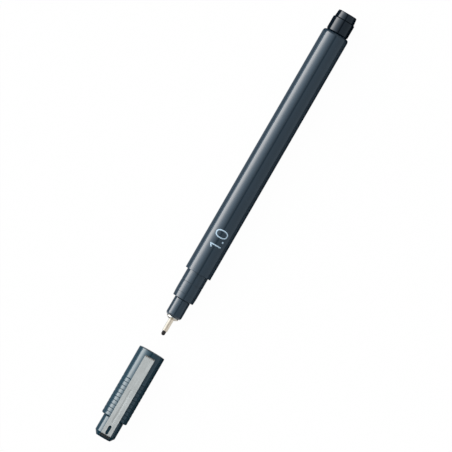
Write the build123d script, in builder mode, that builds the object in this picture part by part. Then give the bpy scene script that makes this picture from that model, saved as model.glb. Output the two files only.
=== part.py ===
import os

from build123d import *

# Fineliner pen, lying down, with its cap pulled off and left in line with it.
# Millimetres. X runs along the pen, +X to the tail. +Z is up, on the clip's side.
# The origin is on the pen's axis, at the middle of the barrel.

# Fits
PRESS_PLAY = 0.02  # radial play between pieces that are pressed together
CAP_PLAY = 0.04  # radial play of the cap's bore on the neck
SEAL_PLAY = 0.05  # radial play of the inner cap on the nose
CLIP_PLAY = 0.05  # between the clip and the head that carries it

# Barrel
BARREL_DIAMETER = 9.72
BARREL_LENGTH = 94.85
TAIL_ROUND_LENGTH = 1.15  # rounded tail of the barrel
TAIL_ROUND_DROP = 0.75
SHOULDER_WIDTH = 0.82  # step from the barrel down to the neck
SOCKET_DEPTH = 12.0  # front socket that takes the stem of the front section
SOCKET_STOP = 0.28  # step at the socket's end, which stops the stem
RIB_COUNT = 6  # ribs that centre the reservoir and leave air channels
RIB_WIDTH = 0.6
RIB_HEIGHT = 0.35
RIB_ROOT = 0.2  # how deep a rib is rooted in the wall

# Front section
NECK_LENGTH = 10.3
NECK_END_CHAMFER = 0.15
LEAD_LENGTH = 2.05  # tapered lead-in at the end of the neck
LEAD_DROP = 0.16
NOSE_STEP = 0.92
NOSE_LENGTH = 6.8
NOSE_ROUND_LENGTH = 1.0
NOSE_ROUND_DROP = 0.55
SECTION_WALL = 1.1
GUIDE_WALL = 0.8  # guide tube round the wick
GUIDE_SETBACK = 3.0  # from the stem's end to the guide tube's end

# Metal tip and nib
COLLAR_DIAMETER = 4.35
COLLAR_LENGTH = 1.05
COLLAR_RIM = 0.5
COLLAR_BEVEL = 0.95
SHANK_WALL = 0.5
SHANK_LENGTH = 8.0
TUBE_LENGTH = 4.6  # in front of the collar
TUBE_WALL = 0.2
TUBE_LIP_CHAMFER = 0.1
NIB_DIAMETER = 1.38
NIB_LENGTH = 1.63  # in front of the tube
NIB_DOME = 0.75
NIB_SOCKET = 3.0  # depth of the nib in the wick

# Ink feed
WICK_DIAMETER = 2.4
WICK_REACH = 6.0  # depth of the wick in the reservoir
FILM_THICKNESS = 0.15

# Tail plug
STEM_LENGTH = 7.0
PLUG_WALL = 0.9
SPIGOT_LENGTH = 5.25
SPIGOT_CHAMFER = 0.3
POST_PLAY = 0.03  # radial play of a posted cap on the spigot
TAIL_LENGTH = 2.7
TAIL_STEP = 0.35
TAIL_TAPER = 0.28
TAIL_EDGE_CHAMFER = 0.25

# Cap body
CAP_GAP = 6.72  # from the nib's point to the cap's mouth, as the cap lies
MOUTH_CHAMFER = 0.2
LEDGE_GAP = 0.4  # from the neck's end to the ledge when the cap is home
LEDGE_THICKNESS = 0.7
LEDGE_PLAY = 0.3  # radial play of the ledge round the nose
RING_COUNT = 10  # grip rings, each with a groove in front of it
RING_PITCH = 1.466
GROOVE_WIDTH = 0.46
GROOVE_DEPTH = 0.08
CAP_END_CHAMFER = 0.4

# Inner cap
INNER_WALL = 0.6
INNER_FLOOR = 0.7
TIP_ROOM = 0.6  # from the collar to the inner cap's step
WAIST_ROOM = 1.1  # radial room round the tube
NIB_ROOM = 0.82  # from the nib's point to the inner cap's floor

# Cap head
HEAD_MARGIN = 0.5  # from the inner cap's end to the end of the cap body
HEAD_STEP = 1.04
HEAD_LENGTH = 7.51
HEAD_INSERT = 4.8
HEAD_TAPER_LENGTH = 1.45  # bevelled end of the head
HEAD_TAPER_DROP = 1.1
PAD_INSET = 0.3  # each side of the pad under the clip's edge
PAD_MARGIN = 0.2  # from the clip's bead to the pad
NUB_HEIGHT = 0.25
NUB_SIDE_PLAY = 0.1
NUB_SLIP = 0.5  # room for the slot to move back as the clip lifts
END_WALL = 0.47  # the head's wall behind the clip's leg
POCKET_PLAY = 0.09  # room round the leg in its pocket, in which it rocks as the clip lifts

# Clip
CLIP_WIDTH = 3.7
CLIP_THICKNESS = 0.4
CLIP_SETBACK = 2.0  # from the cap's mouth to the lip at the clip's free end
CLIP_GAP = 0.45  # between the cap and the arm
CLIP_BEND = 0.9  # inner radius from the arm to the leg
LIP_GAP = 0.1  # between the cap and the lip
LIP_RUN = 0.3
LIP_BEND = 0.8  # inner radius at the lip
LEG_DEPTH = 2.7  # how far the leg reaches into the head
SLOT_LENGTH = 3.2
SLOT_WIDTH = 0.96
SLOT_SETBACK = 0.95  # from the leg's inner face to the slot
BEAD_LENGTH = 13.5  # groove pressed into the arm, which stiffens it
BEAD_WIDTH = 1.2
BEAD_DEPTH = 0.12
BEAD_SETBACK = 0.8  # from the slot to the bead
BEAD_DRAFT = 60  # degrees

# Radii worked out from the barrel inwards
barrel_radius = BARREL_DIAMETER / 2
neck_radius = barrel_radius - SHOULDER_WIDTH
socket_radius = neck_radius + PRESS_PLAY
bore_radius = socket_radius - SOCKET_STOP
nose_radius = neck_radius - LEAD_DROP - NOSE_STEP
section_bore = neck_radius - SECTION_WALL
nib_radius = NIB_DIAMETER / 2
nib_bore = nib_radius + PRESS_PLAY
tube_radius = nib_bore + TUBE_WALL
tube_bore = tube_radius + PRESS_PLAY
collar_radius = COLLAR_DIAMETER / 2
shank_radius = tube_bore + SHANK_WALL
shank_bore = shank_radius + PRESS_PLAY
wick_radius = WICK_DIAMETER / 2
wick_bore = wick_radius + PRESS_PLAY
guide_radius = wick_bore + GUIDE_WALL
film_radius = bore_radius - RIB_HEIGHT - PRESS_PLAY
film_bore = film_radius - FILM_THICKNESS
fibre_radius = film_bore - PRESS_PLAY
stem_radius = bore_radius - PRESS_PLAY
cap_bore = neck_radius + CAP_PLAY
spigot_radius = cap_bore - POST_PLAY
tail_radius = spigot_radius - TAIL_STEP
tail_end_radius = tail_radius - TAIL_TAPER
groove_floor = barrel_radius - GROOVE_DEPTH
ledge_bore = nose_radius + LEDGE_PLAY
inner_bore = nose_radius + SEAL_PLAY
inner_radius = inner_bore + INNER_WALL
inner_seat = inner_radius + PRESS_PLAY
waist_bore = tube_radius + WAIST_ROOM
waist_radius = waist_bore + INNER_WALL
head_radius = barrel_radius - HEAD_STEP
head_seat = head_radius + PRESS_PLAY
head_socket = waist_radius + PRESS_PLAY

# Places along the pen, from the shoulder to the nib
nose_end = NECK_LENGTH + NOSE_LENGTH
shank_end = nose_end - SHANK_LENGTH
collar_end = nose_end + COLLAR_LENGTH
tube_end = collar_end + TUBE_LENGTH
nib_end = tube_end + NIB_LENGTH
nib_back = shank_end - NIB_SOCKET

# Places along the pen, from the shoulder to the tail
stem_front = BARREL_LENGTH - STEM_LENGTH
spigot_end = BARREL_LENGTH + SPIGOT_LENGTH
tail_end = spigot_end + TAIL_LENGTH

# Places in the cap, from its mouth to its closed end
ledge_front = NECK_LENGTH + LEDGE_GAP
ledge_back = ledge_front + LEDGE_THICKNESS
inner_step = collar_end + TIP_ROOM
inner_floor = nib_end + NIB_ROOM
inner_end = inner_floor + INNER_FLOOR
body_end = inner_end + HEAD_MARGIN
rings_start = body_end - RING_COUNT * RING_PITCH
head_front = body_end - HEAD_INSERT
head_end = body_end + HEAD_LENGTH
pocket_back = head_end - END_WALL
leg_face = pocket_back - POCKET_PLAY - CLIP_THICKNESS
pocket_front = leg_face - POCKET_PLAY
slot_end = leg_face - SLOT_SETBACK
bead_end = slot_end - SLOT_LENGTH - BEAD_SETBACK
pad_front = bead_end + PAD_MARGIN

# Heights over the pen's axis
arm_height = barrel_radius + CLIP_GAP
pad_height = arm_height - CLIP_PLAY
lip_height = barrel_radius + LIP_GAP
leg_foot = head_radius - LEG_DEPTH
pocket_floor = leg_foot - CLIP_PLAY

# Side planes that hold the pen's axis, a plane over it and one across it
shoulder_x = -BARREL_LENGTH / 2
mouth_x = shoulder_x - nib_end - CAP_GAP
to_tail = Plane(origin=(shoulder_x, 0, 0), x_dir=(1, 0, 0), z_dir=(0, -1, 0))
to_nib = Plane(origin=(shoulder_x, 0, 0), x_dir=(-1, 0, 0), z_dir=(0, 1, 0))
into_cap = Plane(origin=(mouth_x, 0, 0), x_dir=(-1, 0, 0), z_dir=(0, 1, 0))
over_cap = Plane(origin=(mouth_x, 0, 0), x_dir=(-1, 0, 0), z_dir=(0, 0, 1))
across_barrel = Plane(origin=(shoulder_x, 0, 0), x_dir=(0, 1, 0), z_dir=(1, 0, 0))

# Barrel: a tube with a front socket, a rounded tail and ribs along its bore
with BuildPart() as barrel:
    with BuildSketch(to_tail):
        with BuildLine():
            EllipticalCenterArc(
                (BARREL_LENGTH - TAIL_ROUND_LENGTH, barrel_radius - TAIL_ROUND_DROP),
                TAIL_ROUND_LENGTH,
                TAIL_ROUND_DROP,
            )
            Polyline(
                (BARREL_LENGTH, barrel_radius - TAIL_ROUND_DROP),
                (BARREL_LENGTH, bore_radius),
                (SOCKET_DEPTH, bore_radius),
                (SOCKET_DEPTH, socket_radius),
                (0, socket_radius),
                (0, barrel_radius),
                (BARREL_LENGTH - TAIL_ROUND_LENGTH, barrel_radius),
            )
        make_face()
    revolve(axis=Axis.X)
    with BuildSketch(across_barrel.offset(SOCKET_DEPTH)):
        with PolarLocations(bore_radius - RIB_HEIGHT, RIB_COUNT):
            Rectangle(RIB_HEIGHT + RIB_ROOT, RIB_WIDTH, align=(Align.MIN, Align.CENTER))
    extrude(amount=stem_front - SOCKET_DEPTH)

# Front section: stem, neck and nose, with a guide tube for the wick inside
with BuildPart() as front_section:
    with BuildSketch(to_nib):
        with BuildLine():
            neck = Polyline(
                (-SOCKET_DEPTH, section_bore),
                (-SOCKET_DEPTH, neck_radius),
                (NECK_LENGTH - LEAD_LENGTH, neck_radius),
                (NECK_LENGTH, neck_radius - LEAD_DROP),
                (NECK_LENGTH, nose_radius),
                (nose_end - NOSE_ROUND_LENGTH, nose_radius),
            )
            nose_round = TangentArc(
                neck @ 1, (nose_end, nose_radius - NOSE_ROUND_DROP), tangent=neck % 1
            )
            Polyline(
                nose_round @ 1,
                (nose_end, shank_bore),
                (shank_end, shank_bore),
                (shank_end, wick_bore),
                (GUIDE_SETBACK - SOCKET_DEPTH, wick_bore),
                (GUIDE_SETBACK - SOCKET_DEPTH, guide_radius),
                (NECK_LENGTH - SECTION_WALL, guide_radius),
                (NECK_LENGTH - SECTION_WALL, section_bore),
                neck @ 0,
            )
        make_face()
    revolve(axis=Axis.X)
    under_neck_rim = to_nib.from_local_coords((NECK_LENGTH, LEAD_DROP - neck_radius))
    neck_rim = front_section.edges().sort_by_distance(under_neck_rim)[0]
    chamfer(neck_rim, length=NECK_END_CHAMFER)

# Tip collar: a turned flange on the nose's end, with a shank inside the nose
with BuildPart() as tip_collar:
    with BuildSketch(to_nib):
        with BuildLine():
            Polyline(
                (nose_end + COLLAR_RIM, collar_radius),
                (nose_end, collar_radius),
                (nose_end, shank_radius),
                (shank_end, shank_radius),
                (shank_end, tube_bore),
                (collar_end, tube_bore),
                (collar_end, collar_radius - COLLAR_BEVEL),
                close=True,
            )
        make_face()
    revolve(axis=Axis.X)

# Nib tube: a thin straight tube with a chamfered lip, pressed into the collar
with BuildPart() as nib_tube:
    with BuildSketch(to_nib):
        with BuildLine():
            Polyline(
                (shank_end, nib_bore),
                (shank_end, tube_radius),
                (tube_end - TUBE_LIP_CHAMFER, tube_radius),
                (tube_end, tube_radius - TUBE_LIP_CHAMFER),
                (tube_end, nib_bore),
                close=True,
            )
        make_face()
    revolve(axis=Axis.X)

# Nib: a rod with a domed point, its back end in the wick
with BuildPart() as nib:
    with BuildSketch(to_nib):
        with BuildLine():
            EllipticalCenterArc((nib_end - NIB_DOME, 0), NIB_DOME, nib_radius)
            Polyline(
                (nib_end - NIB_DOME, nib_radius),
                (nib_back, nib_radius),
                (nib_back, 0),
                (nib_end, 0),
            )
        make_face()
    revolve(axis=Axis.X)

# Relay wick: feeds the nib from the reservoir
with BuildPart() as relay_wick:
    with BuildSketch(to_nib):
        with BuildLine():
            Polyline(
                (shank_end, nib_bore),
                (shank_end, wick_radius),
                (-SOCKET_DEPTH - WICK_REACH, wick_radius),
                (-SOCKET_DEPTH - WICK_REACH, 0),
                (nib_back, 0),
                (nib_back, nib_bore),
                close=True,
            )
        make_face()
    revolve(axis=Axis.X)

# Ink reservoir: a fibre core from the front section to the tail plug
with BuildPart() as ink_reservoir:
    with BuildSketch(to_tail):
        with BuildLine():
            Polyline(
                (SOCKET_DEPTH, wick_bore),
                (SOCKET_DEPTH, fibre_radius),
                (stem_front, fibre_radius),
                (stem_front, 0),
                (SOCKET_DEPTH + WICK_REACH, 0),
                (SOCKET_DEPTH + WICK_REACH, wick_bore),
                close=True,
            )
        make_face()
    revolve(axis=Axis.X)

# Reservoir film: a thin sleeve round the fibre core
with BuildPart() as reservoir_film:
    with BuildSketch(across_barrel.offset(SOCKET_DEPTH)):
        Circle(film_radius)
        Circle(film_bore, mode=Mode.SUBTRACT)
    extrude(amount=stem_front - SOCKET_DEPTH)

# Tail plug: a hollow stem in the barrel, a spigot for the posted cap and a slimmer end
with BuildPart() as tail_plug:
    with BuildSketch(to_tail):
        with BuildLine():
            Polyline(
                (stem_front, stem_radius - PLUG_WALL),
                (stem_front, stem_radius),
                (BARREL_LENGTH, stem_radius),
                (BARREL_LENGTH, spigot_radius - SPIGOT_CHAMFER),
                (BARREL_LENGTH + SPIGOT_CHAMFER, spigot_radius),
                (spigot_end, spigot_radius),
                (spigot_end, tail_radius),
                (tail_end, tail_end_radius),
                (tail_end, 0),
                (spigot_end, 0),
                (spigot_end, stem_radius - PLUG_WALL),
                close=True,
            )
        make_face()
    revolve(axis=Axis.X)
    plug_rims = tail_plug.edges().filter_by(GeomType.CIRCLE).group_by(Axis.X)
    chamfer(plug_rims[-1].sort_by(SortBy.RADIUS)[-1], length=TAIL_EDGE_CHAMFER)

# Cap body: a tube with grip rings, a ledge for the inner cap and a seat for the head
with BuildPart() as cap_body:
    with BuildSketch(into_cap):
        with BuildLine():
            outside = [(0, barrel_radius)]
            for ring in range(RING_COUNT):
                groove = rings_start + ring * RING_PITCH
                outside.append((groove - GROOVE_WIDTH / 2, barrel_radius))
                outside.append((groove, groove_floor))
                outside.append((groove + GROOVE_WIDTH / 2, barrel_radius))
            Polyline(
                *outside,
                (body_end - CAP_END_CHAMFER, barrel_radius),
                (body_end, barrel_radius - CAP_END_CHAMFER),
                (body_end, head_seat),
                (head_front, head_seat),
                (head_front, inner_seat),
                (ledge_back, inner_seat),
                (ledge_back, ledge_bore),
                (ledge_front, ledge_bore),
                (ledge_front, cap_bore),
                (MOUTH_CHAMFER, cap_bore),
                (0, cap_bore + MOUTH_CHAMFER),
                close=True,
            )
        make_face()
    revolve(axis=Axis.X)

# Inner cap: a stepped seal cup that closes over the nose
with BuildPart() as inner_cap:
    with BuildSketch(into_cap):
        with BuildLine():
            Polyline(
                (ledge_back, inner_bore),
                (ledge_back, inner_radius),
                (inner_step + INNER_WALL, inner_radius),
                (inner_step + INNER_WALL, waist_radius),
                (inner_end, waist_radius),
                (inner_end, 0),
                (inner_floor, 0),
                (inner_floor, waist_bore),
                (inner_step, waist_bore),
                (inner_step, inner_bore),
                close=True,
            )
        make_face()
    revolve(axis=Axis.X)

# Cap head: the cap's slim end, with a pad and a nub under the clip and a pocket for its leg
with BuildPart() as cap_head:
    with BuildSketch(into_cap):
        with BuildLine():
            Polyline(
                (head_front, head_socket),
                (head_front, head_radius),
                (head_end - HEAD_TAPER_LENGTH, head_radius),
                (head_end, head_radius - HEAD_TAPER_DROP),
                (head_end, 0),
                (inner_end, 0),
                (inner_end, head_socket),
                close=True,
            )
        make_face()
    revolve(axis=Axis.X)
    with BuildSketch(into_cap):
        with BuildLine():
            FilletPolyline(
                (pad_front, 0),
                (pad_front, pad_height),
                (pocket_front, pad_height),
                (pocket_front, 0),
                radius=(0, CLIP_BEND),
            )
            Line((pocket_front, 0), (pad_front, 0))
        make_face()
    extrude(amount=CLIP_WIDTH / 2 - PAD_INSET, both=True)
    with BuildSketch(over_cap.offset(pad_height)):
        with Locations((slot_end - NUB_SIDE_PLAY, 0)):
            SlotOverall(
                SLOT_LENGTH - NUB_SIDE_PLAY - NUB_SLIP,
                SLOT_WIDTH - NUB_SIDE_PLAY - NUB_SIDE_PLAY,
                align=(Align.MAX, Align.CENTER),
            )
    extrude(amount=NUB_HEIGHT)
    with BuildSketch(over_cap.offset(pocket_floor)):
        with Locations((pocket_back, 0)):
            Rectangle(
                pocket_back - pocket_front,
                CLIP_WIDTH + POCKET_PLAY + POCKET_PLAY,
                align=(Align.MAX, Align.CENTER),
            )
    extrude(amount=pad_height - pocket_floor, mode=Mode.SUBTRACT)

# Clip: a strip bent from one sheet, with a lip, a straight arm and a leg in the head's pocket
with BuildPart() as clip:
    with BuildSketch(into_cap):
        with BuildLine():
            FilletPolyline(
                (CLIP_SETBACK, lip_height),
                (CLIP_SETBACK + LIP_RUN, arm_height),
                (leg_face, arm_height),
                (leg_face, leg_foot),
                radius=(LIP_BEND, CLIP_BEND),
            )
            offset(amount=CLIP_THICKNESS, side=Side.LEFT)
        make_face()
    extrude(amount=CLIP_WIDTH / 2, both=True)
    with BuildSketch(over_cap.offset(arm_height)):
        with Locations((slot_end, 0)):
            SlotOverall(SLOT_LENGTH, SLOT_WIDTH, align=(Align.MAX, Align.CENTER))
    extrude(amount=CLIP_THICKNESS, mode=Mode.SUBTRACT)
    with BuildSketch(over_cap.offset(arm_height)):
        with Locations((bead_end, 0)):
            SlotOverall(BEAD_LENGTH, BEAD_WIDTH, align=(Align.MAX, Align.CENTER))
    extrude(amount=-BEAD_DEPTH, taper=BEAD_DRAFT)
    with BuildSketch(over_cap.offset(arm_height + CLIP_THICKNESS)):
        with Locations((bead_end, 0)):
            SlotOverall(BEAD_LENGTH, BEAD_WIDTH, align=(Align.MAX, Align.CENTER))
    extrude(amount=-BEAD_DEPTH, taper=BEAD_DRAFT, mode=Mode.SUBTRACT)

pieces = {
    "barrel": barrel,
    "front_section": front_section,
    "tip_collar": tip_collar,
    "nib_tube": nib_tube,
    "nib": nib,
    "relay_wick": relay_wick,
    "ink_reservoir": ink_reservoir,
    "reservoir_film": reservoir_film,
    "tail_plug": tail_plug,
    "cap_body": cap_body,
    "inner_cap": inner_cap,
    "cap_head": cap_head,
    "clip": clip,
}

os.makedirs("parts", exist_ok=True)
for name, piece in pieces.items():
    piece.part.label = name
    export_step(piece.part, f"parts/{name}.step")
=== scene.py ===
import math

import bmesh
import bpy
from mathutils import Matrix, Vector


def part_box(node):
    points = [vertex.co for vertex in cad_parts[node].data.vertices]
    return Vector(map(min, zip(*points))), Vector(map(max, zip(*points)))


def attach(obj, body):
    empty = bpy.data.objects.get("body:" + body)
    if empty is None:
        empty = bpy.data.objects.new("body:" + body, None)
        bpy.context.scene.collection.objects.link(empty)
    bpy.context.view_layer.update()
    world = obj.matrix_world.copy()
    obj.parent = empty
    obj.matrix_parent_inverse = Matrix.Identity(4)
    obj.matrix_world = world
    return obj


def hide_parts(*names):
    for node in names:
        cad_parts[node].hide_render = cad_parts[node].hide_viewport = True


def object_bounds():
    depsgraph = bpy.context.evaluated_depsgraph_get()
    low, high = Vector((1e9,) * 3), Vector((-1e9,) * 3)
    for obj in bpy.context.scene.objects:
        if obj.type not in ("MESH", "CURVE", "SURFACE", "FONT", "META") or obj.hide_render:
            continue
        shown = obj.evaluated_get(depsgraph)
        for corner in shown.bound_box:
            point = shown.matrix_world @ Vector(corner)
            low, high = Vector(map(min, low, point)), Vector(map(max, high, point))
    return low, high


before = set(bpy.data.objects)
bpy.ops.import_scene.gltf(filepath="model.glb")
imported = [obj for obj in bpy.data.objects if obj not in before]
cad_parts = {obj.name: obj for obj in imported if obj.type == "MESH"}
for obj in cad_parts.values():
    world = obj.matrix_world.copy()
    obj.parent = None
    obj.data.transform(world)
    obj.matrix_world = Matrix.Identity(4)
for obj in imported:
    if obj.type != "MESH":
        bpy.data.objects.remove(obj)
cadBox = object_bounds()
mm = 0.001         # pieces are written in millimetres, Blender works in metres
tiny = 1e-6        # millimetres: closer to the axis than this is on it
sharpAngle = 35    # degrees: an edge that turns by more is drawn sharp

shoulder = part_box("barrel")[0].x / mm     # where the neck comes out of the barrel
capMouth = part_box("cap_body")[1].x / mm
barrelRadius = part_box("barrel")[1].z / mm
towardsNib, towardsTail = -1, 1           # along X
print("frame loaded: shoulder at", round(shoulder, 2), "mm, cap mouth at", round(capMouth, 2), "mm")


def linearColour(hexColour):
    # sRGB hex to the linear values that shaders take
    channels = [int(hexColour[i:i + 2], 16) / 255 for i in (1, 3, 5)]
    return [c / 12.92 if c <= 0.04045 else ((c + 0.055) / 1.055) ** 2.4 for c in channels] + [1.0]


def addNode(tree, kind, values=None, links=None, stops=None, **settings):
    node = tree.nodes.new(kind)
    for key, value in settings.items():
        setattr(node, key, value)
    for key, value in (values or {}).items():
        node.inputs[key].default_value = value
    for key, source in (links or {}).items():
        tree.links.new(source, node.inputs[key])
    for i, (place, colour) in enumerate(stops or []):
        stop = node.color_ramp.elements[i] if i < 2 else node.color_ramp.elements.new(place)
        stop.position, stop.color = place, colour
    return node


def perMetre(size):
    # the texture scale that gives features of this many millimetres
    return 1 / (size * mm)


def newMaterial(name):
    material = bpy.data.materials.new(name)
    material.use_nodes = True
    material.node_tree.nodes.clear()
    return material, material.node_tree


def deepToPale(look, span):
    # colour stops for a pattern whose values lie mostly in this span
    return [(span[0], linearColour(look["deep"])), (span[1], linearColour(look["pale"]))]


noiseSpan = (0.3, 0.7)           # most of a noise texture's values
waveRate = 20 / (2 * math.pi)    # bands per metre in a wave texture of scale 1


# Polystyrene and polypropylene, injection moulded in a polished tool: deep gloss with sharp reflections, faint flow
# streaks in the colour along the pull, and a haze of fine hairlines that varies the gloss a little
def glossMoulding(name, look):
    material, tree = newMaterial(name)
    place = addNode(tree, "ShaderNodeTexCoord")
    pull = addNode(tree, "ShaderNodeMapping", {"Scale": (look["stretch"], 1, 1)}, {"Vector": place.outputs["Object"]})
    streaks = addNode(tree, "ShaderNodeTexNoise", {"Scale": perMetre(look["streakWidth"]), "Detail": 4},
                      {"Vector": pull.outputs["Vector"]})
    colour = addNode(tree, "ShaderNodeValToRGB", links={"Fac": streaks.outputs["Fac"]},
                     stops=deepToPale(look, noiseSpan))
    hairlines = addNode(tree, "ShaderNodeTexNoise", {"Scale": perMetre(look["hairlineWidth"]), "Detail": 3},
                        {"Vector": pull.outputs["Vector"]})
    gloss = addNode(tree, "ShaderNodeMapRange", {
        "From Min": look["hairlineSpan"][0], "From Max": look["hairlineSpan"][1],
        "To Min": look["roughness"][0], "To Max": look["roughness"][1]}, {"Value": hairlines.outputs["Fac"]})
    skin = addNode(tree, "ShaderNodeTexNoise", {"Scale": perMetre(look["skinSize"]), "Detail": 2},
                   {"Vector": place.outputs["Object"]})
    ripple = addNode(tree, "ShaderNodeBump", {"Strength": look["ripple"], "Distance": look["rippleDepth"] * mm},
                     {"Height": skin.outputs["Fac"]})
    shader = addNode(tree, "ShaderNodeBsdfPrincipled", {
        "IOR": look["ior"], "Specular Tint": linearColour(look["glint"])},
        {"Base Color": colour.outputs["Color"], "Roughness": gloss.outputs["Result"],
         "Normal": ripple.outputs["Normal"]})
    addNode(tree, "ShaderNodeOutputMaterial", links={"Surface": shader.outputs["BSDF"]})
    return material


# Stainless spring strip, cold rolled: rolling lines along the strip draw its sheen out across it, so the flat stays
# bright while the bends turn dark
def rolledStainless(name, look):
    material, tree = newMaterial(name)
    place = addNode(tree, "ShaderNodeTexCoord")
    rolled = addNode(tree, "ShaderNodeMapping", {"Scale": (look["stretch"], 1, 1)},
                     {"Vector": place.outputs["Object"]})
    lines = addNode(tree, "ShaderNodeTexNoise", {"Scale": perMetre(look["lineWidth"]), "Detail": 4},
                    {"Vector": rolled.outputs["Vector"]})
    clouds = addNode(tree, "ShaderNodeTexNoise", {"Scale": perMetre(look["cloudSize"]), "Detail": 3},
                     {"Vector": place.outputs["Object"]})
    colour = addNode(tree, "ShaderNodeValToRGB", links={"Fac": lines.outputs["Fac"]},
                     stops=deepToPale(look, noiseSpan))
    satin = addNode(tree, "ShaderNodeMapRange", {
        "From Min": noiseSpan[0], "From Max": noiseSpan[1],
        "To Min": look["roughness"][0], "To Max": look["roughness"][1]}, {"Value": clouds.outputs["Fac"]})
    scored = addNode(tree, "ShaderNodeBump", {"Strength": look["score"], "Distance": look["scoreDepth"] * mm},
                     {"Height": lines.outputs["Fac"]})
    along = addNode(tree, "ShaderNodeTangent", direction_type="RADIAL", axis="Y")
    shader = addNode(tree, "ShaderNodeBsdfPrincipled", {
        "Metallic": 1.0, "Anisotropic": look["drawn"], "Anisotropic Rotation": look["sheenTurn"]},
        {"Base Color": colour.outputs["Color"], "Roughness": satin.outputs["Result"],
         "Normal": scored.outputs["Normal"], "Tangent": along.outputs["Tangent"]})
    addNode(tree, "ShaderNodeOutputMaterial", links={"Surface": shader.outputs["BSDF"]})
    return material


# Nickel silver, turned and burnished: a bright warm metal with tool rings round it
def turnedNickelSilver(name, look):
    material, tree = newMaterial(name)
    place = addNode(tree, "ShaderNodeTexCoord")
    rings = addNode(tree, "ShaderNodeTexWave", {
        "Scale": perMetre(look["ringPitch"]) / waveRate, "Distortion": look["waver"], "Detail": 2},
        {"Vector": place.outputs["Object"]}, bands_direction="X")
    tarnish = addNode(tree, "ShaderNodeTexNoise", {"Scale": perMetre(look["tarnishSize"]), "Detail": 4},
                      {"Vector": place.outputs["Object"]})
    colour = addNode(tree, "ShaderNodeValToRGB", links={"Fac": tarnish.outputs["Fac"]},
                     stops=deepToPale(look, look["tarnishSpan"]))
    burnish = addNode(tree, "ShaderNodeMapRange", {"To Min": look["roughness"][0], "To Max": look["roughness"][1]},
                      {"Value": rings.outputs["Fac"]})
    tooled = addNode(tree, "ShaderNodeBump", {"Strength": look["tooling"], "Distance": look["toolDepth"] * mm},
                     {"Height": rings.outputs["Fac"]})
    shader = addNode(tree, "ShaderNodeBsdfPrincipled", {"Metallic": 1.0},
                     {"Base Color": colour.outputs["Color"], "Roughness": burnish.outputs["Result"],
                      "Normal": tooled.outputs["Normal"]})
    addNode(tree, "ShaderNodeOutputMaterial", links={"Surface": shader.outputs["BSDF"]})
    return material


# Bonded fibre, soaked with ink: matt and nearly black, with the runs of the fibres as a grain along the rod
def bondedFibre(name, look):
    material, tree = newMaterial(name)
    place = addNode(tree, "ShaderNodeTexCoord")
    drawn = addNode(tree, "ShaderNodeMapping", {"Scale": (look["stretch"], 1, 1)}, {"Vector": place.outputs["Object"]})
    fibres = addNode(tree, "ShaderNodeTexNoise", {"Scale": perMetre(look["fibreWidth"]), "Detail": 5},
                     {"Vector": drawn.outputs["Vector"]})
    colour = addNode(tree, "ShaderNodeValToRGB", links={"Fac": fibres.outputs["Fac"]},
                     stops=deepToPale(look, noiseSpan))
    felt = addNode(tree, "ShaderNodeBump", {"Strength": look["felt"], "Distance": look["feltDepth"] * mm},
                   {"Height": fibres.outputs["Fac"]})
    shader = addNode(tree, "ShaderNodeBsdfPrincipled", {"Roughness": look["roughness"], "IOR": look["ior"]},
                     {"Base Color": colour.outputs["Color"], "Normal": felt.outputs["Normal"]})
    addNode(tree, "ShaderNodeOutputMaterial", links={"Surface": shader.outputs["BSDF"]})
    return material


# Polyethylene and polypropylene in thin walls: waxy, with slow mottling, milky where light goes deep and clear as film
def waxyPolyolefin(name, look):
    material, tree = newMaterial(name)
    place = addNode(tree, "ShaderNodeTexCoord")
    mottle = addNode(tree, "ShaderNodeTexNoise", {"Scale": perMetre(look["mottleSize"]), "Detail": 3},
                     {"Vector": place.outputs["Object"]})
    colour = addNode(tree, "ShaderNodeValToRGB", links={"Fac": mottle.outputs["Fac"]},
                     stops=deepToPale(look, noiseSpan))
    wax = addNode(tree, "ShaderNodeMapRange", {"To Min": look["roughness"][0], "To Max": look["roughness"][1]},
                  {"Value": mottle.outputs["Fac"]})
    shader = addNode(tree, "ShaderNodeBsdfPrincipled", {
        "IOR": look["ior"], "Subsurface Weight": look["milk"], "Subsurface Scale": look["milkDepth"] * mm,
        "Transmission Weight": look["clear"]},
        {"Base Color": colour.outputs["Color"], "Roughness": wax.outputs["Result"]})
    addNode(tree, "ShaderNodeOutputMaterial", links={"Surface": shader.outputs["BSDF"]})
    return material


# Pad-printed enamel ink: a thin pale film, a little uneven where the pad lifted
def padPrintInk(name, look):
    material, tree = newMaterial(name)
    place = addNode(tree, "ShaderNodeTexCoord")
    cover = addNode(tree, "ShaderNodeTexNoise", {"Scale": perMetre(look["patchSize"]), "Detail": 3},
                    {"Vector": place.outputs["Object"]})
    colour = addNode(tree, "ShaderNodeValToRGB", links={"Fac": cover.outputs["Fac"]},
                     stops=deepToPale(look, noiseSpan))
    sheen = addNode(tree, "ShaderNodeMapRange", {"To Min": look["roughness"][0], "To Max": look["roughness"][1]},
                    {"Value": cover.outputs["Fac"]})
    shader = addNode(tree, "ShaderNodeBsdfPrincipled", {"IOR": look["ior"]},
                     {"Base Color": colour.outputs["Color"], "Roughness": sheen.outputs["Result"]})
    addNode(tree, "ShaderNodeOutputMaterial", links={"Surface": shader.outputs["BSDF"]})
    return material


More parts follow.
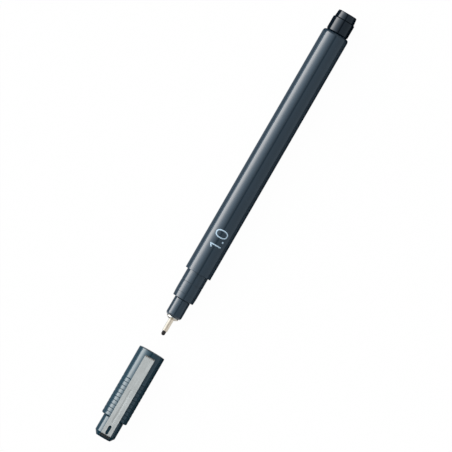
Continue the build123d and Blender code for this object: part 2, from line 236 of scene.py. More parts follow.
# hairlines are hundredths of a millimetre wide, and are drawn as coarse as they need to show
moulding = {"stretch": 0.12, "hairlineWidth": 0.4, "hairlineSpan": (0.3, 0.75), "ripple": 0.004, "rippleDepth": 0.02}
barrelPlastic = glossMoulding("mouldedPolystyreneSlate", {
    **moulding, "deep": "#212F3A", "pale": "#23313C", "streakWidth": 1.2, "skinSize": 1.5,
    "roughness": (0.04, 0.08), "ior": 1.58, "glint": "#FFFFFF"})
tailPlastic = glossMoulding("mouldedPolypropyleneBlack", {
    **moulding, "deep": "#061019", "pale": "#08131C", "streakWidth": 1.0, "skinSize": 1.2,
    "roughness": (0.04, 0.07), "ior": 1.47, "glint": "#FFFFFF"})
capPlastic = glossMoulding("mouldedPolystyreneTeal", {
    **moulding, "deep": "#15303C", "pale": "#18333F", "streakWidth": 1.2, "skinSize": 1.5,
    "roughness": (0.04, 0.08), "ior": 1.60, "glint": "#F8FFFF"})
# rolling lines are hundredths of a millimetre wide, and are drawn as coarse as they need to show; a quarter turn of the
# sheen lays it across them
clipSteel = rolledStainless("coldRolledStainless", {
    "deep": "#B8B4AC", "pale": "#C9C5BD", "stretch": 0.04, "lineWidth": 0.25, "cloudSize": 2.5,
    "roughness": (0.4, 0.5), "score": 0.15, "scoreDepth": 0.01, "drawn": 0.85, "sheenTurn": 0.25})
# tool rings have a pitch of hundredths of a millimetre, and are drawn as coarse as they need to show
tipMetal = turnedNickelSilver("turnedNickelSilver", {
    "deep": "#D2C8B8", "pale": "#DED5C6", "ringPitch": 0.754, "waver": 0.3, "tarnishSize": 0.8,
    "tarnishSpan": (0.35, 0.65), "roughness": (0.17, 0.19), "tooling": 0.01, "toolDepth": 0.01})
# fibres are about 0.02 mm thick, and are drawn coarser to show
fibre = {"stretch": 0.15, "felt": 0.4, "feltDepth": 0.03, "ior": 1.49}
nibFibre = bondedFibre("bondedAcrylicFibreInked", {
    **fibre, "deep": "#0E0B0A", "pale": "#1C1614", "fibreWidth": 0.06, "roughness": 0.6})
inkFibre = bondedFibre("drawnPolyesterFibreInked", {
    **fibre, "deep": "#15151C", "pale": "#24242E", "fibreWidth": 0.08, "roughness": 0.85})
polyolefin = {"ior": 1.51, "milkDepth": 0.4}
sealPlastic = waxyPolyolefin("mouldedPolyethyleneMilky", {
    **polyolefin, "deep": "#C9CCCB", "pale": "#D6D9D8", "mottleSize": 3, "roughness": (0.35, 0.5),
    "milk": 0.4, "clear": 0.0})
filmPlastic = waxyPolyolefin("wrappedPolypropyleneFilm", {
    **polyolefin, "deep": "#DDE3E6", "pale": "#E8EDEF", "mottleSize": 4, "roughness": (0.1, 0.2),
    "milk": 0.0, "clear": 0.8})
printInk = padPrintInk("padPrintedEnamel", {
    "deep": "#A9C3D6", "pale": "#B7CFE0", "patchSize": 0.5, "roughness": (0.2, 0.35), "ior": 1.5})
print("materials made:", len(bpy.data.materials))


def evenSteps(whole, steps):
    # from nought to the whole
    return [whole * i / steps for i in range(steps + 1)]


def roundedOutline(corners, arcSteps=6):
    # each corner is (distance, radius from the axis) or the same with the size of its rounding
    points = []
    for i, corner in enumerate(corners):
        here = Vector(corner[:2])
        rounding = corner[2] if len(corner) > 2 else 0
        if not rounding:
            points.append(here)
            continue
        back = (Vector(corners[i - 1][:2]) - here).normalized()
        ahead = (Vector(corners[(i + 1) % len(corners)][:2]) - here).normalized()
        half = back.angle(ahead) / 2
        centre = here + (back + ahead).normalized() * (rounding / math.sin(half))
        first = here + back * (rounding / math.tan(half)) - centre
        last = here + ahead * (rounding / math.tan(half)) - centre
        points += [centre + first.slerp(last, share).normalized() * rounding for share in evenSteps(1, arcSteps)]
    return points


def finishMesh(name, work):
    bmesh.ops.recalc_face_normals(work, faces=work.faces)
    mesh = bpy.data.meshes.new(name)
    work.to_mesh(mesh)
    work.free()
    mesh.shade_smooth()
    mesh.set_sharp_from_angle(angle=math.radians(sharpAngle))
    piece = bpy.data.objects.new(name, mesh)
    bpy.context.scene.collection.objects.link(piece)
    return piece


def spunPiece(name, outline, start, towards, spokes=96, longest=5, edged=0.5, edging=0.05):
    # turns a closed outline about the pen's axis, with extra rings on runs over the longest, and close to the ends of
    # runs that are edged, so that the shading of a rounding doesn't spread along them
    stations = []
    for here, after in zip(outline, outline[1:] + outline[:1]):
        length = (after - here).length
        runs = max(1, math.ceil(length / longest))
        shares = [i / runs for i in range(runs)]
        if length > edged:
            shares = [0, edging / length] + shares[1:] + [1 - edging / length]
        onAxis = here.y + after.y < tiny
        stations += [here.lerp(after, share) for share in (shares[:1] if onAxis else shares)]
    work = bmesh.new()
    rings = []
    for distance, radius in stations:
        x = (start + towards * distance) * mm
        turns = evenSteps(2 * math.pi, spokes)[:-1] if radius > tiny else [0]
        rings.append([work.verts.new((x, radius * mm * math.sin(t), radius * mm * math.cos(t))) for t in turns])
    for near, far in zip(rings, rings[1:] + rings[:1]):
        if len(near) == 1 and len(far) == 1:
            continue  # a run along the axis has no surface
        for i in range(spokes):
            j = (i + 1) % spokes
            corners = [near[i % len(near)], near[j % len(near)], far[j % len(far)], far[i % len(far)]]
            work.faces.new(list(dict.fromkeys(corners)))
    return finishMesh(name, work)


def dress(piece, body, node, material):
    piece.data.materials.append(material)
    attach(piece, body)
    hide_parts(node)


barrel = {"length": 94.85, "bore": 3.78, "socket": 4.06, "socketDepth": 12, "lipRound": 0.12,
          "tailRound": (1.15, 0.75), "tailSteps": 12}
barrelTail = [(barrel["length"] - barrel["tailRound"][0] * (1 - math.sin(turn)),
               barrelRadius - barrel["tailRound"][1] * (1 - math.cos(turn)))
              for turn in evenSteps(math.pi / 2, barrel["tailSteps"])]
barrelTube = spunPiece("barrelTube", roundedOutline([
    (0, barrel["socket"]), (0, barrelRadius, barrel["lipRound"])] + barrelTail + [
    (barrel["length"], barrel["bore"]), (barrel["socketDepth"], barrel["bore"]),
    (barrel["socketDepth"], barrel["socket"])]), shoulder, towardsTail)
dress(barrelTube, "pen", "barrel", barrelPlastic)

neck = {"radius": 4.04, "length": 10.3, "leadDrop": 0.16, "endRound": 0.15, "stem": 12, "bore": 2.94, "wall": 1.1,
        "lines": ((4.35, 0.4, 0.075), (8.25, 0.26, 0.05)),  # end, width and depth of each
        "noseRadius": 2.96, "noseRoot": (0.15, 0.25), "rootRound": 0.05, "noseEnd": 17.1, "noseRound": (1.0, 0.55),
        "noseSteps": 8, "shankBore": 1.45, "shankEnd": 9.1, "wickBore": 1.22, "guide": 2.02, "guideBack": 9}
roundLength, roundDrop = neck["noseRound"]
noseArc = (roundLength ** 2 + roundDrop ** 2) / (2 * roundDrop)
noseTurn = 2 * math.atan(roundDrop / roundLength)
noseStart = neck["noseEnd"] - roundLength
noseOutline = [(noseStart + noseArc * math.sin(turn), neck["noseRadius"] - noseArc * (1 - math.cos(turn)))
               for turn in evenSteps(noseTurn, neck["noseSteps"])]
lineOutline = []
for end, width, depth in neck["lines"]:  # fine lines cut round the neck, where the last one starts the lead-in
    lineOutline += [(end - width, neck["radius"]), (end - width / 2, neck["radius"] - depth), (end, neck["radius"])]
neckAndNose = spunPiece("neckAndNose", roundedOutline([
    (-neck["stem"], neck["bore"]), (-neck["stem"], neck["radius"])] + lineOutline + [
    (neck["length"], neck["radius"] - neck["leadDrop"], neck["endRound"]),
    (neck["length"], neck["noseRadius"] - neck["noseRoot"][0]),
    (neck["length"] + neck["noseRoot"][1], neck["noseRadius"], neck["rootRound"])] + noseOutline + [
    (neck["noseEnd"], neck["shankBore"]), (neck["shankEnd"], neck["shankBore"]),
    (neck["shankEnd"], neck["wickBore"]), (-neck["guideBack"], neck["wickBore"]),
    (-neck["guideBack"], neck["guide"]), (neck["length"] - neck["wall"], neck["guide"]),
    (neck["length"] - neck["wall"], neck["bore"])]), shoulder, towardsNib)
dress(neckAndNose, "pen", "front_section", barrelPlastic)

collar = {"radius": 2.175, "rim": 0.5, "length": 1.05, "faceRadius": 1.225, "shank": 1.43, "bore": 0.93,
          "backRound": 0.08, "bevelRound": 0.15}
collarEnd = neck["noseEnd"] + collar["length"]
tipCollar = spunPiece("tipCollar", roundedOutline([
    (neck["shankEnd"], collar["bore"]), (neck["shankEnd"], collar["shank"]),
    (neck["noseEnd"], collar["shank"]), (neck["noseEnd"], collar["radius"], collar["backRound"]),
    (neck["noseEnd"] + collar["rim"], collar["radius"], collar["bevelRound"]),
    (collarEnd, collar["faceRadius"], collar["bevelRound"]), (collarEnd, collar["bore"])]), shoulder, towardsNib)
dress(tipCollar, "pen", "tip_collar", tipMetal)

tube = {"radius": 0.91, "bore": 0.71, "end": 22.75, "lipRound": 0.1, "boreRound": 0.04, "spokes": 64}
nibTube = spunPiece("nibTube", roundedOutline([
    (neck["shankEnd"], tube["bore"]), (neck["shankEnd"], tube["radius"]),
    (tube["end"], tube["radius"], tube["lipRound"]), (tube["end"], tube["bore"], tube["boreRound"])]),
    shoulder, towardsNib, tube["spokes"])
dress(nibTube, "pen", "nib_tube", tipMetal)

point = {"radius": 0.69, "back": 6.1, "end": 24.38, "dome": 0.75, "domeSteps": 10, "spokes": 48}
pointDome = [(point["end"] - point["dome"] * (1 - math.sin(turn)), point["radius"] * math.cos(turn))
             for turn in evenSteps(math.pi / 2, point["domeSteps"])]
nibPoint = spunPiece("nibPoint", roundedOutline([
    (point["back"], 0), (point["back"], point["radius"])] + pointDome), shoulder, towardsNib, point["spokes"])
dress(nibPoint, "pen", "nib", nibFibre)

plug = {"stem": 3.76, "stemFront": 87.85, "bore": 2.86, "spigot": 4.05, "spigotEnd": 100.1, "spigotRound": 0.14,
        "root": (3.7, 0.45), "rootRound": 0.05, "tail": 3.70, "tailRoot": (0.15, 0.25), "tailEnd": 102.8,
        "tailEndRadius": 3.42, "tailRound": 0.3}
tailPlug = spunPiece("tailPlug", roundedOutline([
    (plug["stemFront"], plug["bore"]), (plug["stemFront"], plug["stem"]),
    (barrel["length"], plug["stem"]), (barrel["length"], plug["root"][0]),
    (barrel["length"] + plug["root"][1], plug["spigot"], plug["rootRound"]),
    (plug["spigotEnd"], plug["spigot"], plug["spigotRound"]),
    (plug["spigotEnd"], plug["tail"] - plug["tailRoot"][0]),
    (plug["spigotEnd"] + plug["tailRoot"][1], plug["tail"], plug["rootRound"]),
    (plug["tailEnd"], plug["tailEndRadius"], plug["tailRound"]), (plug["tailEnd"], 0),
    (plug["spigotEnd"], 0), (plug["spigotEnd"], plug["bore"])]), shoulder, towardsTail)
dress(tailPlug, "pen", "tail_plug", tailPlastic)
print("pen pieces spun")

cap = {"bore": 4.08, "mouthRound": 0.35, "mouthChamfer": 0.2, "ledge": (10.7, 11.4), "ledgeBore": 3.26,
       "innerSeat": 3.63, "headSeat": 3.84, "headFront": 21.6, "end": 26.4, "endRound": 0.45,
       "firstGroove": 11.74, "pitch": 1.466, "grooves": 10, "grooveDepth": 0.08, "grooveEdge": 0.25, "edgeRound": 0.2,
       "crown": 6, "ringSteps": 24}
valley = barrelRadius - cap["grooveDepth"]
ringOutline = []
for ring in range(cap["grooves"] - 1):  # each grip ring is crowned between two grooves
    for share in evenSteps(1, cap["ringSteps"])[:-1]:
        rise = 1 - abs(2 * share - 1) ** cap["crown"]
        ringOutline.append((cap["firstGroove"] + (ring + share) * cap["pitch"], valley + cap["grooveDepth"] * rise))
lastGroove = cap["firstGroove"] + (cap["grooves"] - 1) * cap["pitch"]
capShell = spunPiece("capShell", roundedOutline([
    (cap["mouthChamfer"], cap["bore"]), (0, cap["bore"] + cap["mouthChamfer"]),
    (0, barrelRadius, cap["mouthRound"]),
    (cap["firstGroove"] - cap["grooveEdge"], barrelRadius, cap["edgeRound"])] + ringOutline + [
    (lastGroove, valley), (lastGroove + cap["grooveEdge"], barrelRadius, cap["edgeRound"]),
    (cap["end"], barrelRadius, cap["endRound"]), (cap["end"], cap["headSeat"]), (cap["headFront"], cap["headSeat"]),
    (cap["headFront"], cap["innerSeat"]), (cap["ledge"][1], cap["innerSeat"]), (cap["ledge"][1], cap["ledgeBore"]),
    (cap["ledge"][0], cap["ledgeBore"]), (cap["ledge"][0], cap["bore"])]), capMouth, towardsNib)
dress(capShell, "cap", "cap_body", capPlastic)

head = {"radius": 3.82, "root": (0.18, 0.28), "rootLead": 0.1, "rootRound": 0.05, "end": 33.91, "endRound": 0.15,
        "taperLength": 1.45, "taperDrop": 1.1, "taperRound": 0.5, "socket": 2.63, "socketFloor": 25.9,
        "padFront": 28.2, "padFoot": 1.0, "padTop": 5.26, "padHalf": 1.55, "padRound": 0.15, "padBend": 0.9,
        "nub": (29.3, 31.9), "nubTop": 5.51, "nubHalf": 0.38, "nubHalfHeight": 0.5, "nubSteps": 12,
        "pocket": (32.86, 33.44), "pocketFloor": 1.07, "pocketHalf": 1.94}
capHead = spunPiece("capHead", roundedOutline([
    (cap["headFront"], head["socket"]), (cap["headFront"], head["radius"]),
    (cap["end"] - head["rootLead"], head["radius"]), (cap["end"], head["radius"] - head["root"][0]),
    (cap["end"] + head["root"][1], head["radius"], head["rootRound"]),
    (head["end"] - head["taperLength"], head["radius"], head["taperRound"]),
    (head["end"], head["radius"] - head["taperDrop"], head["endRound"]),
    (head["end"], 0), (head["socketFloor"], 0), (head["socketFloor"], head["socket"])]), capMouth, towardsNib)


def standingBlock(outline, depth, lift):
    # a closed outline in two directions, carried from one side to the other: lift gives the place of each point
    work = bmesh.new()
    sides = [[work.verts.new(lift(a, b, side * depth)) for a, b in outline] for side in (-1, 1)]
    for loop in sides:
        work.faces.new(loop)
    for i in range(len(outline)):
        j = (i + 1) % len(outline)
        work.faces.new([sides[0][i], sides[0][j], sides[1][j], sides[1][i]])
    return finishMesh("standingBlock", work)


def alongCap(distance, height, across):
    return Vector((capMouth - distance, across, height)) * mm


def onNub(distance, across, lift):
    return alongCap(distance, head["nubTop"] - head["nubHalfHeight"] + lift, across)


padBlock = standingBlock(roundedOutline([
    (head["padFront"], head["padFoot"]), (head["padFront"], head["padTop"], head["padRound"]),
    (head["pocket"][0], head["padTop"], head["padBend"]), (head["pocket"][0], head["padFoot"])]),
    head["padHalf"], alongCap)
pocketBlock = standingBlock([
    (head["pocket"][0], head["pocketFloor"]), (head["pocket"][0], head["padTop"]),
    (head["pocket"][1], head["padTop"]), (head["pocket"][1], head["pocketFloor"])], head["pocketHalf"], alongCap)
nubCentres = ((1, head["nub"][1] - head["nubHalf"]), (-1, head["nub"][0] + head["nubHalf"]))  # way out and distance
nubBlock = standingBlock([
    (centre + way * head["nubHalf"] * math.sin(turn), -way * head["nubHalf"] * math.cos(turn))
    for way, centre in nubCentres for turn in evenSteps(math.pi, head["nubSteps"])], head["nubHalfHeight"], onNub)
for block in (padBlock, nubBlock, pocketBlock):  # pad and nub grow out of the head, the clip's leg has a pocket in it
    joined = capHead.modifiers.new("moulded", "BOOLEAN")
    joined.operation, joined.object = "DIFFERENCE" if block is pocketBlock else "UNION", block
    moulded = bpy.data.meshes.new_from_object(capHead.evaluated_get(bpy.context.evaluated_depsgraph_get()))
    capHead.modifiers.clear()
    capHead.data = moulded
    bpy.data.objects.remove(block)
work = bmesh.new()
work.from_mesh(capHead.data)
bmesh.ops.triangulate(work, faces=[face for face in work.faces if len(face.verts) > 4])  # leaves no slivers
work.to_mesh(capHead.data)
work.free()
capHead.data.name = "capHead"
capHead.data.set_sharp_from_angle(angle=math.radians(sharpAngle))
dress(capHead, "cap", "cap_head", capPlastic)
print("cap pieces made")

strip = {"half": 1.85, "thickness": 0.4, "lip": (2.1, 4.96), "lipTop": (2.3, 5.31), "lipBend": 0.45, "legFace": 32.95,
         "legFoot": 1.12, "bend": 0.9, "slot": (28.72, 32.12), "slotHalf": 0.53, "slotMargin": 0.45,
         "bead": (14.5, 28.0), "beadHalf": 0.6, "beadDepth": 0.09,
         "columns": 28, "slotRings": 6, "lipReach": 1.0, "lipRow": 0.08, "armRow": 0.28, "slotRow": 0.2, "legRow": 0.12}
lipRise = math.atan2(strip["lipTop"][1] - strip["lip"][1], strip["lipTop"][0] - strip["lip"][0])
lipTangent = strip["lipBend"] * math.tan(lipRise / 2)
lipRun = math.dist(strip["lip"], strip["lipTop"]) - lipTangent
armRun = strip["legFace"] - strip["bend"] - strip["lipTop"][0] - lipTangent
legRun = strip["lipTop"][1] - strip["bend"] - strip["legFoot"]
bends = [(lipRun, 0), (strip["lipBend"] * lipRise, -1 / strip["lipBend"]), (armRun, 0),
         (strip["bend"] * math.pi / 2, -1 / strip["bend"]), (legRun, 0)]  # length and curvature of each stretch
stripLength = sum(length for length, curve in bends)
armOffset = strip["lipTop"][0] + lipTangent - bends[0][0] - bends[1][0]  # cap distance less strip distance, on the arm


def bentPlace(along, across, height):
    # a point of the flat strip, carried round its bends: height is above the underside
    x, z = strip["lip"]
    heading = lipRise
    for length, curve in bends:
        run = min(along, length)
        if curve:
            turned = heading + curve * run
            x += (math.sin(turned) - math.sin(heading)) / curve
            z += (math.cos(heading) - math.cos(turned)) / curve
            heading = turned
        else:
            x += run * math.cos(heading)
            z += run * math.sin(heading)
        along -= run
        if along <= 0:
            break
    return alongCap(x - height * math.sin(heading), z + height * math.cos(heading), across)


beadEnds = [strip["bead"][0] - armOffset + strip["beadHalf"], strip["bead"][1] - armOffset - strip["beadHalf"]]
slotEnds = [strip["slot"][0] - armOffset + strip["slotHalf"], strip["slot"][1] - armOffset - strip["slotHalf"]]


def beadDip(along, across):
    # the pressed groove: deepest on its middle line, easing out to the flat
    near = min(max(along, beadEnds[0]), beadEnds[1])
    reach = math.hypot(along - near, across) / strip["beadHalf"]
    return strip["beadDepth"] * (0.5 + 0.5 * math.cos(math.pi * min(reach, 1)))


flatPoints, flatFaces = {}, []  # the strip before bending, as welded quads
columns = [strip["half"] * (2 * i / strip["columns"] - 1) for i in range(strip["columns"] + 1)]


def flatPoint(along, across):
    return flatPoints.setdefault((round(along, 4), round(across, 4)), len(flatPoints))


def gridRows(rows):
    for a, b in zip(rows, rows[1:]):
        for c, d in zip(columns, columns[1:]):
            flatFaces.append([flatPoint(a, c), flatPoint(b, c), flatPoint(b, d), flatPoint(a, d)])


def holedPatch(border, holeEdge, rings):
    # quads between a border and the hole inside it, where holeEdge gives the hole's point for a border point
    loops = [[(b[0] + (h[0] - b[0]) * i / rings, b[1] + (h[1] - b[1]) * i / rings)
              for b, h in zip(border, map(holeEdge, border))] for i in range(rings + 1)]
    for outer, inner in zip(loops, loops[1:]):
        for i in range(len(border)):
            j = (i + 1) % len(border)
            flatFaces.append([flatPoint(*outer[i]), flatPoint(*outer[j]), flatPoint(*inner[j]), flatPoint(*inner[i])])


def spread(first, last, spacing):
    count = max(1, round((last - first) / spacing))
    return [first + (last - first) * i / count for i in range(count + 1)]


def slotEdge(border):
    near = min(max(border[0], slotEnds[0]), slotEnds[1])
    away = math.hypot(border[0] - near, border[1])
    return near + (border[0] - near) * strip["slotHalf"] / away, border[1] * strip["slotHalf"] / away


slotBox = (slotEnds[0] - strip["slotHalf"] - strip["slotMargin"], slotEnds[1] + strip["slotHalf"] + strip["slotMargin"])
slotRows = spread(*slotBox, strip["slotRow"])
gridRows(spread(0, strip["lipReach"], strip["lipRow"]) + spread(strip["lipReach"], slotBox[0], strip["armRow"])[1:])
holedPatch([(slotBox[0], c) for c in columns[:-1]] + [(a, strip["half"]) for a in slotRows[:-1]]
           + [(slotBox[1], c) for c in columns[:0:-1]] + [(a, -strip["half"]) for a in slotRows[:0:-1]],
           slotEdge, strip["slotRings"])
gridRows(spread(slotBox[1], stripLength, strip["legRow"]))

work = bmesh.new()
under, over = [], []
for along, across in flatPoints:
    dip = beadDip(along, across)
    under.append(work.verts.new(bentPlace(along, across, -dip)))
    over.append(work.verts.new(bentPlace(along, across, strip["thickness"] - dip)))
edgeUses = {}
for face in flatFaces:
    work.faces.new([over[i] for i in face])
    work.faces.new([under[i] for i in reversed(face)])
    for a, b in zip(face, face[1:] + face[:1]):
        edgeUses.setdefault(frozenset((a, b)), []).append((a, b))
for uses in edgeUses.values():
    if len(uses) == 1:  # a cut edge of the sheet: the outside or the slot
        a, b = uses[0]
        work.faces.new([over[a], under[a], under[b], over[b]])
clipStrip = finishMesh("clipStrip", work)
dress(clipStrip, "clip", "clip", clipSteel)
print("clip bent from", len(flatFaces), "quads")

number = {"height": 4.2, "stroke": 0.45, "turn": -2.0, "film": 0.02, "one": 11.45, "oneSteps": 16,
          "flag": (1.15, 0.95), "flagSteps": 5, "dot": 13.35, "dotSize": 0.6, "dotSteps": 3,
          "nought": 15.8, "noughtWide": 1.3, "noughtTall": 2.1, "noughtSteps": 64, "square": 2.3}


def inkStroke(work, path, width, closed=False):
    # a ribbon of ink along a path on the barrel, in mm from the shoulder and round the barrel from the number's middle
    rims = []
    for i, here in enumerate(path):
        before = path[i - 1] if closed or i else here
        after = path[(i + 1) % len(path)] if closed or i + 1 < len(path) else here
        side = (after - before).normalized().orthogonal() * (width / 2)
        rims.append([])
        for along, around in (here + side, here - side):
            turn = math.radians(number["turn"]) + around / barrelRadius
            rims[-1].append(work.verts.new(Vector((shoulder + along, barrelRadius * math.sin(turn),
                                                   barrelRadius * math.cos(turn))) * mm))
    for near, far in zip(rims, rims[1:] + (rims[:1] if closed else [])):
        work.faces.new([near[0], near[1], far[1], far[0]])


def straight(start, end, steps):
    return [Vector(start).lerp(Vector(end), share) for share in evenSteps(1, steps)]


work = bmesh.new()
noughtPath = []
for turn in evenSteps(2 * math.pi, number["noughtSteps"])[:-1]:
    x, y = math.cos(turn), math.sin(turn)
    swell = (abs(x) ** number["square"] + abs(y) ** number["square"]) ** (-1 / number["square"])
    noughtPath.append(Vector((number["nought"] + number["noughtWide"] * x * swell, number["noughtTall"] * y * swell)))
inkStroke(work, noughtPath, number["stroke"], True)
foot, top = -number["height"] / 2, number["height"] / 2
inkStroke(work, straight((number["one"], foot), (number["one"], top), number["oneSteps"]), number["stroke"])
inkStroke(work, straight((number["one"], top - number["stroke"] / 2),
                         (number["one"] - number["flag"][0], top - number["flag"][1]), number["flagSteps"]),
          number["stroke"])
inkStroke(work, straight((number["dot"], foot), (number["dot"], foot + number["dotSize"]), number["dotSteps"]),
          number["dotSize"])
sizeNumber = finishMesh("sizeNumber", work)
film = sizeNumber.modifiers.new("inkFilm", "SOLIDIFY")
film.thickness, film.offset = number["film"] * mm, 0
sizeNumber.data.materials.append(printInk)
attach(sizeNumber, "pen")
print("size number printed")

carriedOver = {"inner_cap": sealPlastic, "relay_wick": inkFibre, "ink_reservoir": inkFibre,
               "reservoir_film": filmPlastic}
for node, material in carriedOver.items():  # hidden pieces keep their solids
    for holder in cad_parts[node].material_slots:
        holder.material = material

light = {"fill": 0.5, "key": 1.0, "keyLean": 60, "keySpread": 70}  # fill and key in shares of full white, degrees
world = bpy.data.worlds.new("plainWhiteStudio")  # with the key, a level at which colours come out as written
world.use_nodes = True
world.node_tree.nodes.clear()
bpy.context.scene.world = world
rays = addNode(world.node_tree, "ShaderNodeLightPath")
skyLevel = addNode(world.node_tree, "ShaderNodeMapRange", {"To Min": light["fill"], "To Max": 1.0},
                   {"Value": rays.outputs["Is Camera Ray"]})
glow = addNode(world.node_tree, "ShaderNodeBackground", {"Color": (1, 1, 1, 1)},
               {"Strength": skyLevel.outputs["Result"]})
addNode(world.node_tree, "ShaderNodeOutputWorld", links={"Surface": glow.outputs["Background"]})
keyLamp = bpy.data.objects.new("softKey", bpy.data.lights.new("softKey", "SUN"))
keyLamp.data.energy = light["key"] * math.pi                # a sun of pi on a white sheet gives full white
keyLamp.data.angle = math.radians(light["keySpread"])
keyLamp.rotation_euler.x = -math.radians(light["keyLean"])  # from overhead towards +Y
keyLamp.visible_glossy = False                              # gloss sees the tent instead
bpy.context.scene.collection.objects.link(keyLamp)

skylight = (0.82, 1.0, 1.18)  # what cool light does to red, green and blue


def onlyReflected(thing):
    thing.visible_camera = thing.visible_diffuse = thing.visible_shadow = thing.visible_transmission = False


def litCloth(name, look):
    # glows round the pen by the degrees from overhead towards +Y, each level with its share of cool skylight, and fades
    # to a plain level beyond the ends of the pen
    material, tree = newMaterial(name)
    place = addNode(tree, "ShaderNodeTexCoord")
    facing = addNode(tree, "ShaderNodeVectorMath", links={0: place.outputs["Object"]}, operation="NORMALIZE")
    parts = addNode(tree, "ShaderNodeSeparateXYZ", links={"Vector": facing.outputs["Vector"]})
    lean = addNode(tree, "ShaderNodeMath", links={0: parts.outputs["Y"], 1: parts.outputs["Z"]}, operation="ARCTAN2")
    turn = addNode(tree, "ShaderNodeMapRange", {"From Min": -math.pi, "From Max": math.pi}, {"Value": lean.outputs[0]})
    brightest = max(level for angle, level, cool in look["levels"]) * max(skylight)
    stops = [(angle / 360 + 0.5, [level / brightest * (1 + cool * (c - 1)) for c in skylight] + [1])
             for angle, level, cool in look["levels"]]
    bank = addNode(tree, "ShaderNodeValToRGB", links={"Fac": turn.outputs["Result"]}, stops=stops)
    endwise = addNode(tree, "ShaderNodeMath", links={0: parts.outputs["X"]}, operation="ABSOLUTE")
    fade = addNode(tree, "ShaderNodeMapRange", {"From Min": look["bankEnds"][0], "From Max": look["bankEnds"][1]},
                   {"Value": endwise.outputs[0]}, interpolation_type="SMOOTHSTEP")
    cloth = addNode(tree, "ShaderNodeMixRGB", {"Color2": [look["endLevel"] / brightest] * 3 + [1]},
                    {"Fac": fade.outputs["Result"], "Color1": bank.outputs["Color"]})
    face = addNode(tree, "ShaderNodeEmission", {"Strength": brightest}, {"Color": cloth.outputs["Color"]})
    if look["sheer"]:
        gauze = addNode(tree, "ShaderNodeBsdfTransparent")
        face = addNode(tree, "ShaderNodeAddShader", links={0: face.outputs[0], 1: gauze.outputs[0]})
    addNode(tree, "ShaderNodeOutputMaterial", links={"Surface": face.outputs[0]})
    return material


def litTent(name, look, linkState):
    # a dome that only reflections see, lit for the clip alone or for all but the clip
    work = bmesh.new()
    bmesh.ops.create_uvsphere(work, u_segments=64, v_segments=32, radius=look["reach"])
    dome = finishMesh(name, work)
    dome.data.materials.append(litCloth(name + "Cloth", look))
    onlyReflected(dome)
    lit = bpy.data.collections.new(name + "Lights")
    lit.objects.link(clipStrip)
    lit.collection_objects[0].light_linking.link_state = linkState
    dome.light_linking.receiver_collection = lit


# each level is (degrees, brightness, share of skylight), and the fade runs between two sizes of the direction's x
tent = {"levels": [(-180, 0.3, 0), (-96, 0.58, 1), (-72, 0.6, 1), (-55, 0.52, 1), (-14, 0.48, 1), (-9, 0.45, 1),
                   (-6, 0.05, 0), (0.5, 0.05, 0), (4, 0.3, 0.2), (9, 0.52, 0.6), (17, 0.87, 1), (25, 1.22, 1),
                   (33, 1.62, 1), (42, 2.25, 0.8), (51, 3.3, 0.5), (60, 5.1, 0.25), (70, 7.4, 0.05), (80, 7.9, 0),
                   (90, 7.8, 0.1), (100, 1.0, 0.6), (180, 0.3, 0)],
        "bankEnds": (0.3, 0.68), "endLevel": 0.35, "reach": 1.0, "sheer": False}
litTent("softTent", tent, "EXCLUDE")
veil = {"levels": [(-180, 0.3, 0), (-96, 0.35, 0.6), (-60, 0.4, 0.6), (-30, 0.55, 0.6), (-8, 0.95, 0.6),
                   (8, 1.3, 0.6), (30, 1.65, 0.6), (60, 1.9, 0.6), (92, 2.0, 0.6), (106, 0.6, 0.5), (180, 0.3, 0)],
        "bankEnds": (0.3, 0.68), "endLevel": 0.35, "reach": 0.9, "sheer": True}
litTent("clipVeil", veil, "INCLUDE")  # the strip would burn out under the tent

# a paper sleeve round the bare tip, small enough to end up inside the cap, keeps the metal from burning out; its fade
# starts past its ends, so that none of it is plain
sleeve = {"levels": [(-180, 0.35, 0.3), (-145, 0.65, 0.2), (-100, 0.92, 0), (-30, 0.84, 0), (-8, 0.66, 0),
                     (-2, 0.44, 0), (6, 0.5, 0), (20, 0.85, 0), (50, 1.4, 0.2), (90, 1.7, 0.35), (112, 1.4, 0.4),
                     (132, 0.45, 0.6), (180, 0.3, 0.5)],
          "bankEnds": (1, 2), "endLevel": 0, "sheer": False, "radius": 4.4, "reach": (17.6, 26.0)}
work = bmesh.new()
middle, length = sum(sleeve["reach"]) / 2, sleeve["reach"][1] - sleeve["reach"][0]
bmesh.ops.create_cone(
    work, segments=64, radius1=sleeve["radius"] * mm, radius2=sleeve["radius"] * mm, depth=length * mm,
    matrix=Matrix.Translation(((shoulder - middle) * mm, 0, 0)) @ Matrix.Rotation(math.pi / 2, 4, "Y"))
paperSleeve = finishMesh("paperSleeve", work)
paperSleeve.data.materials.append(litCloth("paperSleeveSheet", sleeve))
onlyReflected(paperSleeve)


def stageSheet(name, corners, material):
    mesh = bpy.data.meshes.new(name)
    mesh.from_pydata(corners, [], [(0, 1, 2, 3)])
    mesh.materials.append(material)
    sheet = bpy.data.objects.new(name, mesh)
    bpy.context.scene.collection.objects.link(sheet)
    return sheet


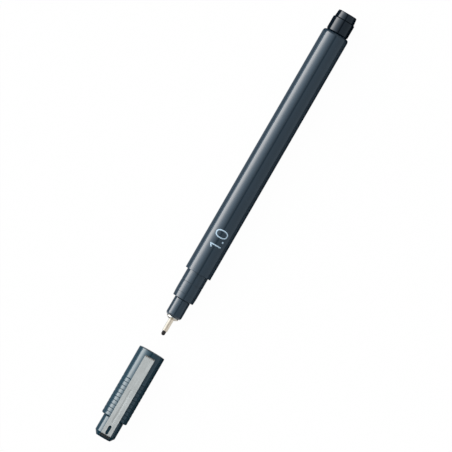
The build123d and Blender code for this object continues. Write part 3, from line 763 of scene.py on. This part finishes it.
sweepPaper = {"white": "#F4F4F4", "share": 0.98, "reach": 6.0}
paper, tree = newMaterial("matWhitePaper")  # seen white by the lens and in reflections, with a trace of the shadow
rays = addNode(tree, "ShaderNodeLightPath")
looked = addNode(tree, "ShaderNodeMath", links={0: rays.outputs["Is Camera Ray"], 1: rays.outputs["Is Glossy Ray"]},
                 operation="MAXIMUM")
seen = addNode(tree, "ShaderNodeMath", links={0: looked.outputs[0], 1: rays.outputs["Is Transmission Ray"]},
               operation="MAXIMUM")
whiteShare = addNode(tree, "ShaderNodeMath", {1: sweepPaper["share"]}, {0: seen.outputs[0]}, operation="MULTIPLY")
lit = addNode(tree, "ShaderNodeBsdfDiffuse", {"Color": linearColour(sweepPaper["white"])})
white = addNode(tree, "ShaderNodeEmission", {"Color": (1, 1, 1, 1), "Strength": 1.0})
both = addNode(tree, "ShaderNodeMixShader", links={
    "Fac": whiteShare.outputs[0], 1: lit.outputs["BSDF"], 2: white.outputs[0]})
addNode(tree, "ShaderNodeOutputMaterial", links={"Surface": both.outputs["Shader"]})
floorHeight = cadBox[0].z
reach = sweepPaper["reach"]
stageSheet("paperFloor", [(x * reach, y * reach, floorHeight) for x, y in ((-1, -1), (1, -1), (1, 1), (-1, 1))], paper)

# boards that only reflections see, each with two opposite corners in mm above the paper and how bright it looks. They
# are painted light and shade on the paper for reflections only, while the lens sees the paper evenly white: farLeft is
# painted light, and the other lying boards are painted shade, darkest near the pen, on its right and past its ends. The
# two standing boards cast no shadow and paint dark reflections into the cap's head end, the clip's end bend and the
# tail's end.
boards = {"nearLeft": ((-400, 6.5, 0.05), (400, 40, 0.05), 0.3),
          "farLeft": ((-400, 40, 0.05), (400, 500, 0.05), 1.75),
          "nearRight": ((-400, -20, 0.05), (400, -6.5, 0.05), 0.02),
          "farRight": ((-400, -500, 0.05), (400, -20, 0.05), 0.12),
          "capEnd": ((-400, -6.5, 0.05), (-114, 6.5, 0.05), 0.04),
          "tailLeft": ((47.8, 0, 0.1), (400, 80, 0.1), 0.03),
          "tailRight": ((47.8, -30, 0.1), (400, 0, 0.1), 0.0),
          "capEndPaintedDark": ((-124, -70, 0), (-124, 70, 45), 0.03),
          "tailEndPaintedDark": ((70, -22, 0), (70, 22, 16), 0.02)}
for name, ((x0, y0, z0), (x1, y1, z1), level) in boards.items():
    board, tree = newMaterial(name + "Board")
    face = addNode(tree, "ShaderNodeEmission", {"Color": (*skylight, 1), "Strength": level})
    addNode(tree, "ShaderNodeOutputMaterial", links={"Surface": face.outputs["Emission"]})
    lying = [(x0, y0, z0), (x1, y0, z0), (x1, y1, z1), (x0, y1, z1)]
    standing = [(x0, y0, z0), (x0, y1, z0), (x1, y1, z1), (x1, y0, z1)]
    corners = [Vector(corner) * mm + Vector((0, 0, floorHeight)) for corner in (lying if z0 == z1 else standing)]
    onlyReflected(stageSheet(name, corners, board))

shot = {"roll": 59.93, "tilt": 3.0, "middle": (-28.47, -0.17, 0.0), "frameWidth": 155.0, "lens": 400, "sensor": 36}
camera = bpy.data.objects.new("photoCamera", bpy.data.cameras.new("photoCamera"))
bpy.context.scene.collection.objects.link(camera)
camera.data.lens, camera.data.sensor_width = shot["lens"], shot["sensor"]
roll, tilt = math.radians(shot["roll"]), math.radians(shot["tilt"])
penWay, sideWay = Vector((1, 0, 0)), Vector((0, math.cos(tilt), -math.sin(tilt)))
backWay = penWay.cross(sideWay)
rightWay = penWay * math.cos(roll) - sideWay * math.sin(roll)
upWay = penWay * math.sin(roll) + sideWay * math.cos(roll)
distance = shot["frameWidth"] * mm * shot["lens"] / shot["sensor"]
place = Vector(shot["middle"]) * mm + backWay * distance
camera.matrix_world = Matrix.Translation(place) @ Matrix((rightWay, upWay, backWay)).transposed().to_4x4()
bpy.context.scene.camera = camera
bpy.context.scene.view_settings.view_transform = "Standard"
print("studio and camera set")
